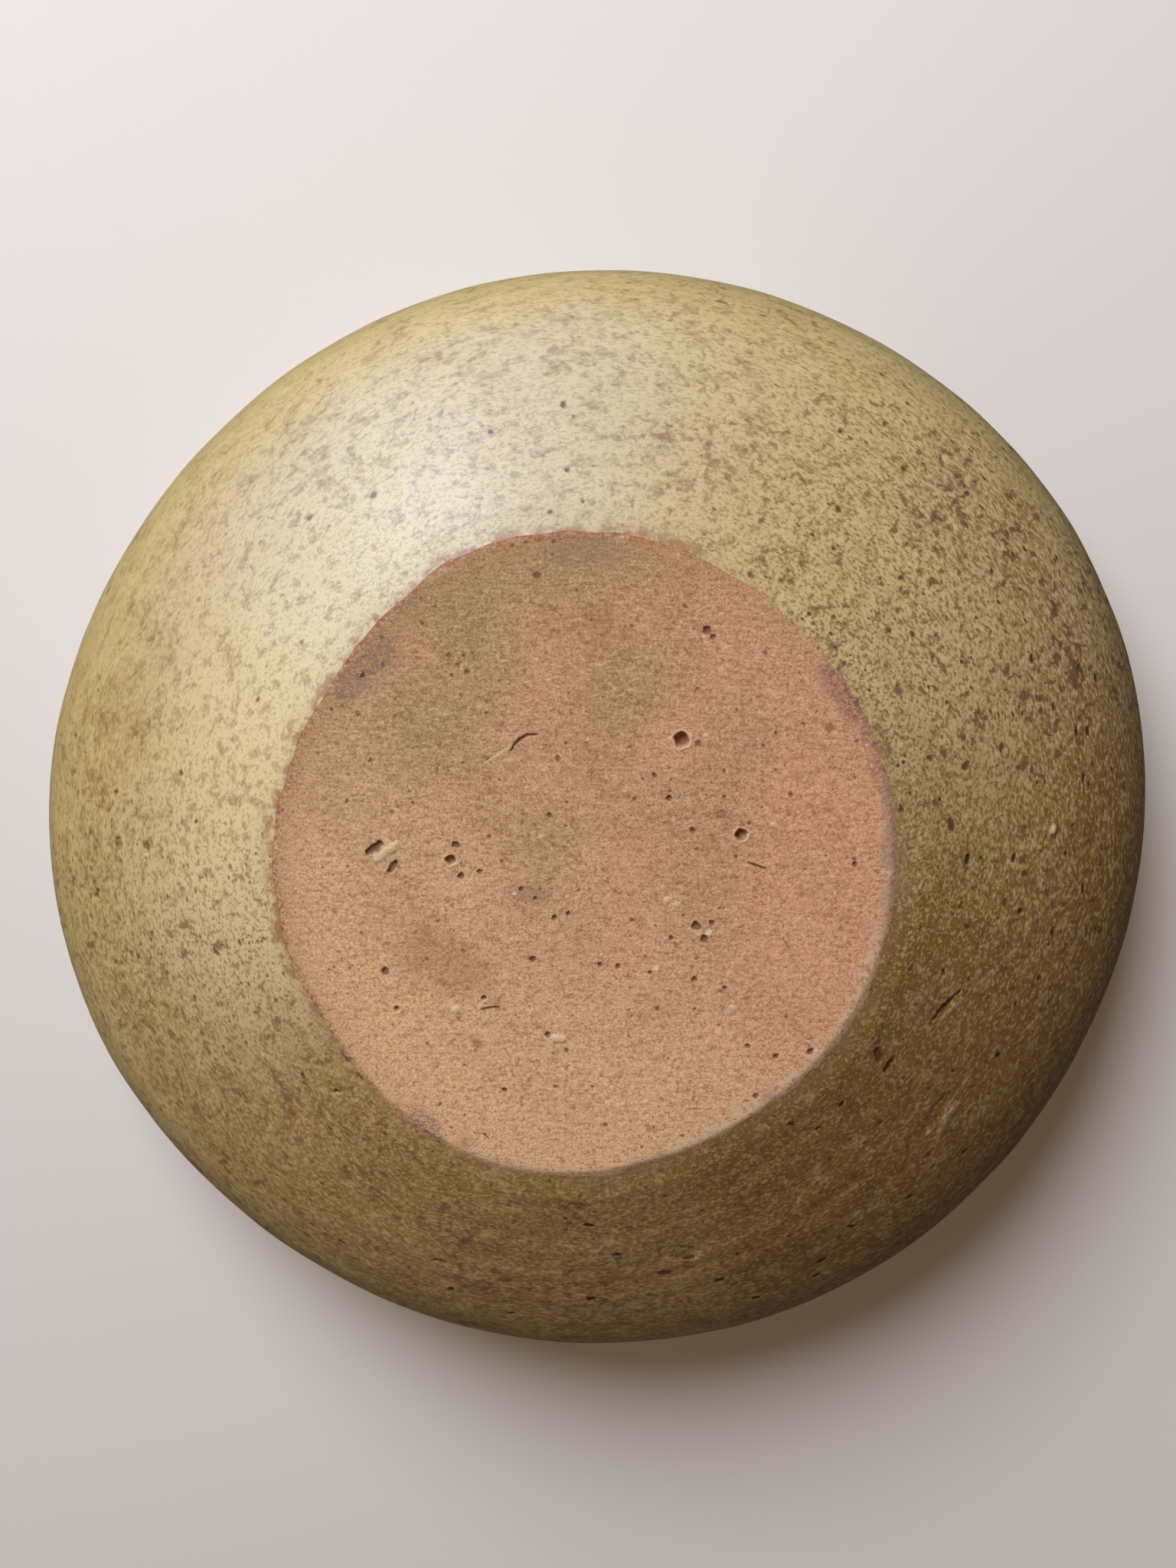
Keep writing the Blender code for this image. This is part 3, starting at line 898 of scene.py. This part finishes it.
ochreGlaze = {
    "ground": "#BFA46C",
    "cream": "#D7C490",
    "grain": "#806537",
    "olive": "#A2944F",
    "ochre": "#B89058",
    # painted shade: the brown laid on the side turned away from the light
    "paintedShade": "#946C30",
    # partly the glaze's cream, partly painted sheen
    "creamAndSheen": "#E4D3A2",
    # painted highlight: the grey-white of the sheen
    "paintedSheen": "#D6D6C4",
    "yellow": "#C9B777",
    "belly": "#BAA66C",
    "clump": "#6E4C38",
    "dot": "#523620",
    # partly the marks' own dark, partly painted shade in their hollows
    "rust": "#6B3A28",
    "darkAndShade": "#3C2416",
    "pale": "#D8C69C",
    "mauve": "#7A5A54",
    "thin": "#A8805E",
    "lip": "#8E5F3C",
    "grainSize": 0.86,     # mm
    "middleSize": 3.4,
    "spunRadius": 100.0,   # where on the bowl its patterns have their own size
    "spunShare": 0.72,     # they run that much slower round it than up it
    "clumpSize": 2.6,
    "cloudSize": 15.0,
    "patchSize": 50.0,
    "streakSize": 1.7,
    "streakShare": 0.12,   # streaks run that much slower round the bowl than up it
    "strayReach": 0.75,    # how far spots stray from round
    "roughness": 0.38,
    "sheen": 0.4,          # specular level
    "gloss": 0.12,         # how much smoother the glaze is where its cream tone, partly painted sheen, lies by the foot
    "bump": 0.8,
    "bumpDepth": 0.12,
    "clumpSpots": (4.6, 0.34, 0.17, 0.05, 0.9),    # as spotMask takes them: cell in mm, spread and so on
    "dots": (2.3, 0.36, 0.14, 0.05, 0.9),
    "rustSpots": (9.0, 0.20, 0.10, 0.03, 0.75),
}


def makeGlaze(name, pooled):
    # Satin iron-speckled stoneware glaze, dipped and fired: an ochre ground broken up by olive grains
    # a millimetre long, cream between them, brown iron specks and clumps, and a soft sheen. Near the
    # belly it turns yellower and smoother, in streaks that run round the bowl.
    paint = ochreGlaze
    material, tree = newMaterial(name)
    where = addNode(tree, "TexCoord")["Object"]
    spun = where
    if not pooled:
        # the outside's patterns follow the turned wall, by how far up it a place lies and by its bearing
        level = addNode(tree, "VectorMath", {"operation": "MULTIPLY", 1: (1, 1, 0)}, {0: where})[0]
        reach = addNode(tree, "VectorMath", {"operation": "LENGTH"}, {0: level})["Value"]
        heading = addNode(tree, "VectorMath", {"operation": "NORMALIZE"}, {0: level})[0]
        up = addNode(tree, "SeparateXYZ", links={0: where})[2]
        climb = addNode(tree, "Math", {"operation": "ADD"}, {0: reach, 1: up})[0]
        climb = addNode(tree, "CombineXYZ", links={2: climb})[0]
        spun = addNode(tree, "VectorMath", {
            "operation": "MULTIPLY_ADD", 1: (paint["spunRadius"] * paint["spunShare"] * mm,) * 3,
        }, {0: heading, 2: climb})[0]
    flattened = addNode(tree, "VectorMath", {
        "operation": "MULTIPLY", 1: (paint["streakShare"], paint["streakShare"], 1.0),
    }, {0: where})[0]
    mottle, middle, clump, cloud, patch, streak = (
        addNode(tree, "TexNoise", {
            "Scale": perMetre / paint[size], "Detail": detail, "Roughness": rough, "Distortion": bend,
        }, {"Vector": space})[0]
        for size, detail, rough, bend, space in (
            ("grainSize", 3.0, 0.6, 0.3, spun), ("middleSize", 3.0, 0.65, 0.2, spun),
            ("clumpSize", 2.0, 0.6, 0.3, where), ("cloudSize", 3.0, 0.55, 0.0, where),
            ("patchSize", 2.0, 0.5, 0.0, where), ("streakSize", 3.0, 0.6, 0.0, flattened),
        )
    )
    # brown clumps gather where the cloud pattern is high
    lean = addNode(tree, "Math", {"operation": "MULTIPLY_ADD", 1: 0.4}, {0: cloud, 2: clump})[0]
    cloudMask, patchMask, middleMask, lightMask, grainMask, creamMask, clumpMask = (
        addNode(tree, "MapRange", {**softStep, 1: start, 2: end, 4: strength}, {0: pattern})[0]
        for pattern, start, end, strength in (
            (cloud, 0.36, 0.66, 0.55), (patch, 0.42, 0.64, 0.25), (middle, 0.49, 0.36, 0.4),
            (middle, 0.51, 0.68, 0.4), (mottle, 0.50, 0.38, 0.78), (mottle, 0.51, 0.63, 0.76),
            (lean, 0.77, 0.90, 0.8),
        )
    )
    streakMask = addNode(tree, "MapRange", {
        **softStep, 1: 0.38, 2: 0.64, 3: 0.25, 4: 0.65,
    }, {0: streak})[0]
    belly = addNode(tree, "Math", {"operation": "MULTIPLY"}, {
        0: streakMask, 1: toneMask(tree, "bellyShare"),
    })[0]
    uneven = strayed(tree, spun, paint["strayReach"])
    # painted highlight, in part: specks, grains and clumps fade where the highlight falls
    busy = addNode(tree, "Math", {"operation": "MULTIPLY_ADD", 1: -0.6, 2: 1.0}, {
        0: toneMask(tree, "calmAndSheen"),
    })[0]
    spots, dots = (spotMask(tree, uneven, *paint[kind]) for kind in ("clumpSpots", "dots"))
    grainMask, creamMask, spots, dots, clumpMask = (
        addNode(tree, "Math", {"operation": "MULTIPLY"}, {0: mask, 1: busy})[0]
        for mask in (grainMask, creamMask, spots, dots, clumpMask)
    )

    colour = addNode(tree, "Mix", {
        **colourMix, 6: toLinear(paint["ground"]), 7: toLinear(paint["ochre"]),
    }, {0: cloudMask})[2]
    # Among these layers lie painted shade (brown on the side away from the light), painted sheen (pale
    # cream and grey-white where the highlight falls) and painted shade in the marks' hollows
    colour = laidOver(tree, paint, colour, (
        ("olive", patchMask), ("paintedShade", None), ("creamAndSheen", None), ("paintedSheen", None), ("yellow", None),
        ("grain", middleMask), ("cream", lightMask), ("cream", creamMask), ("grain", grainMask),
        ("belly", belly), ("clump", clumpMask), ("clump", spots), ("dot", dots),
        ("rust", spotMask(tree, uneven, *paint["rustSpots"])),
        ("thin", toneMask(tree, "thin", clump, 0.25)), ("lip", toneMask(tree, "lip", clump, 0.2)),
        ("mauve", None), ("rust", None), ("darkAndShade", None), ("pale", None),
    ))
    if pooled:
        deep = addNode(tree, "Math", {"operation": "MULTIPLY", 1: 0.3}, {
            0: toneMask(tree, "pooled"),
        })[0]
        colour = laidOver(tree, paint, colour, (("olive", deep),))

    rough = addNode(tree, "MapRange", {
        1: 0.3, 2: 0.7, 3: paint["roughness"] + 0.08, 4: paint["roughness"] - 0.04,
    }, {0: mottle})[0]
    rough = addNode(tree, "Math", {"operation": "MULTIPLY_ADD", 1: -paint["gloss"]}, {
        0: toneMask(tree, "creamAndSheen"), 2: rough,
    })[0]
    relief = addNode(tree, "Bump", {
        "Strength": paint["bump"], "Distance": paint["bumpDepth"] * mm,
    }, {"Height": mottle})[0]
    shader = addNode(tree, "BsdfPrincipled", {
        "IOR": 1.5, "Specular IOR Level": paint["sheen"],
    }, {"Base Color": colour, "Roughness": rough, "Normal": relief})
    addNode(tree, "OutputMaterial", links={"Surface": shader[0]})
    return material


firedClay = {
    "tan": "#B69870",
    "salmon": "#DBA27A",
    "buff": "#E3B98A",
    "ochre": "#B09468",
    "umber": "#94694A",
    "sand": "#E0BC98",
    # partly the marks' own dark, partly painted shade in their hollows
    "darkAndShade": "#3A2118",
    "pale": "#DCC7A0",
    "rust": "#90523A",
    "mauve": "#755A55",
    # partly the clay's red, partly painted shade of the groove at the glaze's end
    "redLineAndShade": "#944E38",
    "crumbly": "#D2B694",
    "grog": "#6E4838",
    "grainSize": 0.95,     # mm
    "sandSize": 0.5,       # also how fine the sand's shading is
    "wipeSize": 0.7,       # across the fine streaks left by wiping the foot clean
    "wipeShare": 0.25,     # how much slower they change along their run
    "cloudSize": 10.0,
    "strayReach": 0.9,
    "roughness": 0.88,
    "bump": 0.7,
    "bumpDepth": 0.15,
    "grogSpots": (2.6, 0.32, 0.14, 0.06, 0.8),
    "rustSpots": (7.0, 0.26, 0.13, 0.05, 0.6),
    "paleSpots": (3.9, 0.22, 0.12, 0.04, 0.7),
}


def makeClay(name):
    # Bare fired stoneware, wiped clean of glaze: matt salmon to tan, sandy to the touch, with dark
    # iron-rich grog and a few pale grains.
    paint = firedClay
    material, tree = newMaterial(name)
    where = addNode(tree, "TexCoord")["Object"]
    drawn = addNode(tree, "VectorMath", {
        "operation": "MULTIPLY", 1: (paint["wipeShare"], 1, 1),
    }, {0: where})[0]
    grainy, sandy, cloud, wiped = (
        addNode(tree, "TexNoise", {
            "Scale": perMetre / paint[size], "Detail": detail, "Roughness": rough, "Distortion": bend,
        }, {"Vector": space})[0]
        for size, detail, rough, bend, space in (
            ("grainSize", 4.0, 0.7, 0.5, where), ("sandSize", 2.0, 0.6, 0.0, where),
            ("cloudSize", 3.0, 0.5, 0.0, where), ("wipeSize", 3.0, 0.65, 0.2, drawn),
        )
    )
    cloudMask, umberMask, sandMask, wipeMask, streakMask = (
        addNode(tree, "MapRange", {**softStep, 1: start, 2: end, 4: strength}, {0: pattern})[0]
        for pattern, start, end, strength in (
            (cloud, 0.35, 0.65, 0.6), (grainy, 0.48, 0.34, 0.65), (grainy, 0.52, 0.68, 0.6),
            (wiped, 0.50, 0.36, 0.34), (wiped, 0.53, 0.68, 0.42),
        )
    )
    uneven = strayed(tree, where, paint["strayReach"])
    colour = addNode(tree, "Mix", {
        **colourMix, 6: toLinear(paint["tan"]), 7: toLinear(paint["ochre"]),
    }, {0: cloudMask})[2]
    colour = laidOver(tree, paint, colour, (
        ("salmon", None), ("buff", None), ("umber", umberMask), ("umber", wipeMask), ("sand", sandMask),
        ("sand", streakMask),
    ))
    shade = addNode(tree, "MapRange", {1: 0.3, 2: 0.7, 3: 0.66, 4: 1.24}, {0: sandy})[0]
    colour = addNode(tree, "Mix", {**colourMix, "blend_type": "MULTIPLY", 0: 1.0}, {
        6: colour, 7: shade,
    })[2]
    colour = laidOver(tree, paint, colour, (
        ("grog", spotMask(tree, uneven, *paint["grogSpots"])),
        ("rust", spotMask(tree, uneven, *paint["rustSpots"])),
        ("pale", spotMask(tree, uneven, *paint["paleSpots"])),
        ("crumbly", toneMask(tree, "crumbly", grainy)), ("redLineAndShade", toneMask(tree, "redLineAndShade", grainy)),
        ("mauve", toneMask(tree, "mauve", grainy)), ("rust", None), ("darkAndShade", None), ("pale", None),
    ))
    rise = addNode(tree, "Math", {"operation": "ADD"}, {0: sandy, 1: grainy})[0]
    relief = addNode(tree, "Bump", {
        "Strength": paint["bump"], "Distance": paint["bumpDepth"] * mm,
    }, {"Height": rise})[0]
    shader = addNode(tree, "BsdfPrincipled", {
        "Roughness": paint["roughness"], "IOR": 1.45, "Specular IOR Level": 0.3,
    }, {"Base Color": colour, "Normal": relief})
    addNode(tree, "OutputMaterial", links={"Surface": shader[0]})
    return material


coat.data.materials.append(makeGlaze("satin_ochre_glaze", False))
lining.data.materials.append(makeGlaze("satin_ochre_glaze_pooled", True))
clay.data.materials.append(makeClay("bare_fired_stoneware"))
print("materials made")

stage = {
    "floorRadius": 1.3,
    "fadeStart": 0.45,     # the floor melts into the background from here outwards
    "fadeEnd": 1.2,
    "edgeOnStart": 0.45,   # how slantingly the table behind the bowl is seen where it fades out
    "edgeOnEnd": 0.6,
    "rimGap": 0.4,         # mm between the rim and the table that the photograph shows under it
    "floor": "#E9E6E1",
    "background": "#F2F0EC",
    "glossyBelow": 0.08,   # how bright glossy rays find the background below, round about and overhead
    "glossyRound": 0.09,
    "glossyAbove": 0.045,
    "glow": 4.5,           # sheen of the room's lit side, seen in glossy surfaces only
    "glowBearing": -118,
    "glowElevation": -25,
    "glowTint": "#B4D2FF",
    "glowFrom": 0.74,      # cosines of the angles where it begins and where it is full
    "glowFull": 0.99,
    "ambientBelow": 0.19,
    "ambientAbove": 0.20,
    "ambientLeft": 1.5,    # how much stronger it is from the left, and weaker from the right
    "ambientRight": 0.25,
    "tintBelow": "#FFD8B6",
    "tintAbove": "#FFFCF8",
}


def makeTable(name, height, faceUp):
    # A plain table top that only the camera sees, from its front side, and that takes the bowl's shadow.
    bpy.ops.mesh.primitive_circle_add(
        vertices=128, radius=stage["floorRadius"], fill_type="NGON", location=(0, 0, height))
    table = bpy.context.object
    table.name = name
    if not faceUp:
        bpy.ops.object.mode_set(mode="EDIT")
        bpy.ops.mesh.flip_normals()
        bpy.ops.object.mode_set(mode="OBJECT")
    material, tree = newMaterial(name)
    where = addNode(tree, "TexCoord")["Object"]
    reach = addNode(tree, "VectorMath", {"operation": "LENGTH"}, {0: where})["Value"]
    shown = addNode(tree, "MapRange", {
        **softStep, 1: stage["fadeStart"], 2: stage["fadeEnd"], 3: 1.0, 4: 0.0,
    }, {0: reach})[0]
    behind = addNode(tree, "NewGeometry")["Backfacing"]
    shares = [addNode(tree, "Math", {"operation": "SUBTRACT", 0: 1.0}, {1: behind})[0]]
    if not faceUp:
        # seen from the side it would hide what lies behind the bowl
        facing = addNode(tree, "LayerWeight")["Facing"]
        shares.append(addNode(tree, "MapRange", {
            **softStep, 1: stage["edgeOnStart"], 2: stage["edgeOnEnd"], 3: 1.0, 4: 0.0,
        }, {0: facing})[0])
    for share in shares:
        shown = addNode(tree, "Math", {"operation": "MULTIPLY"}, {0: shown, 1: share})[0]
    paint = addNode(tree, "BsdfDiffuse", {"Color": toLinear(stage["floor"])})[0]
    clear = addNode(tree, "BsdfTransparent")[0]
    mixed = addNode(tree, "MixShader", links={0: shown, 1: clear, 2: paint})[0]
    addNode(tree, "OutputMaterial", links={"Surface": mixed})
    table.data.materials.append(material)
    table.visible_diffuse = table.visible_glossy = table.visible_transmission = table.visible_shadow = False


makeTable("floor", 0, True)
makeTable("photographed_table", (bowl["height"] + glaze["face"] + stage["rimGap"]) * mm, False)


def towards(bearing, elevation):
    # the unit vector towards a bearing and elevation in degrees
    level = math.cos(math.radians(elevation))
    return Vector((
        level * math.cos(math.radians(bearing)),
        level * math.sin(math.radians(bearing)),
        math.sin(math.radians(elevation)),
    ))


world = bpy.data.worlds.new("studio")
bpy.context.scene.world = world
world.use_nodes = True
tree = world.node_tree
tree.nodes.clear()
where = addNode(tree, "TexCoord")["Generated"]
axes = addNode(tree, "SeparateXYZ", links={0: where})
path = addNode(tree, "LightPath")
# strengths from one side of the room to the other: softly where marked, by the direction's X or Z
upward, sideShare, lowDim, highDim, above = (
    addNode(tree, "MapRange", {**blend, 1: start, 2: end, 3: first, 4: last}, {0: axes[axis]})[0]
    for blend, axis, start, end, first, last in (
        (softStep, "Z", -0.35, 0.35, stage["ambientBelow"], stage["ambientAbove"]),
        ({}, "X", -1.0, 1.0, stage["ambientLeft"], stage["ambientRight"]),
        (softStep, "Z", -0.4, 0.1, stage["glossyBelow"], stage["glossyRound"]),
        (softStep, "Z", 0.4, 0.7, stage["glossyRound"], stage["glossyAbove"]),
        (softStep, "Z", -0.35, 0.35, 0.0, 1.0),
    )
)
facing = addNode(tree, "VectorMath", {
    "operation": "DOT_PRODUCT", 1: towards(stage["glowBearing"], stage["glowElevation"]),
}, {0: where})["Value"]
glow = addNode(tree, "MapRange", {
    **softStep, 1: stage["glowFrom"], 2: stage["glowFull"], 4: stage["glow"],
}, {0: facing})[0]
light, room, reflected, glow = (
    addNode(tree, "Math", {"operation": operation}, {0: one, 1: other})[0]
    for operation, one, other in (
        ("MULTIPLY", upward, sideShare), ("MINIMUM", lowDim, highDim),
        ("MAXIMUM", path["Is Glossy Ray"], path["Is Transmission Ray"]),
        ("MULTIPLY", glow, path["Is Glossy Ray"]),
    )
)
seen, shown = (
    addNode(tree, "Math", {"operation": "MAXIMUM"}, {0: path["Is Camera Ray"], 1: other})[0]
    for other in (room, reflected)
)
tint = addNode(tree, "Mix", {
    **colourMix, 6: toLinear(stage["tintBelow"]), 7: toLinear(stage["tintAbove"]),
}, {0: above})[2]
ambient = addNode(tree, "Background", links={"Color": tint, "Strength": light})[0]
backdrop, sheen = (
    addNode(tree, "Background", {"Color": toLinear(stage[colour])}, {"Strength": strength})[0]
    for colour, strength in (("background", seen), ("glowTint", glow))
)
mixed = addNode(tree, "MixShader", links={0: shown, 1: ambient, 2: backdrop})[0]
both = addNode(tree, "AddShader", links={0: mixed, 1: sheen})[0]
addNode(tree, "OutputWorld", links={"Surface": both})

# Soft boxes: bearing and elevation in degrees, distance and width in metres, watts, colour, and
# whether the box lights what is matt or is only mirrored in the gloss
softBoxes = {
    "window_below": (-115, -41, 1.2, 0.8, 17.2, "#F4F6FF", True),
    "glint_below": (-118, -33, 1.2, 0.45, 7.0, "#B4CEFF", False),
    "window_above": (-168, 58, 2.4, 1.7, 23.0, "#FBFBFF", True),
    "fill_above": (20, 66, 2.2, 1.4, 26.0, "#FFFDFA", True),
}
for name, (lampBearing, elevation, distance, width, watts, colour, lights) in softBoxes.items():
    direction = towards(lampBearing, elevation)
    turn = (-direction).to_track_quat("-Z", "Y").to_euler()
    bpy.ops.object.light_add(type="AREA", location=direction * distance, rotation=turn)
    lamp = bpy.context.object
    lamp.name = name
    lamp.data.shape = "DISK"
    lamp.data.size = width
    lamp.data.energy = watts
    lamp.data.color = toLinear(colour)[:3]
    lamp.visible_camera = False
    lamp.visible_diffuse = lights
    lamp.visible_glossy = not lights

bpy.ops.object.camera_add(location=lookPlace)
camera = bpy.context.object
camera.rotation_euler = Matrix((lookRight, -lookDown, -lookAhead)).transposed().to_euler()
camera.data.lens = view["lens"]
camera.data.sensor_width = view["sensor"]
camera.data.clip_start = 0.01
camera.data.clip_end = 20
bpy.context.scene.camera = camera
bpy.context.scene.view_settings.view_transform = "Standard"
print("stage, lamps and camera placed")
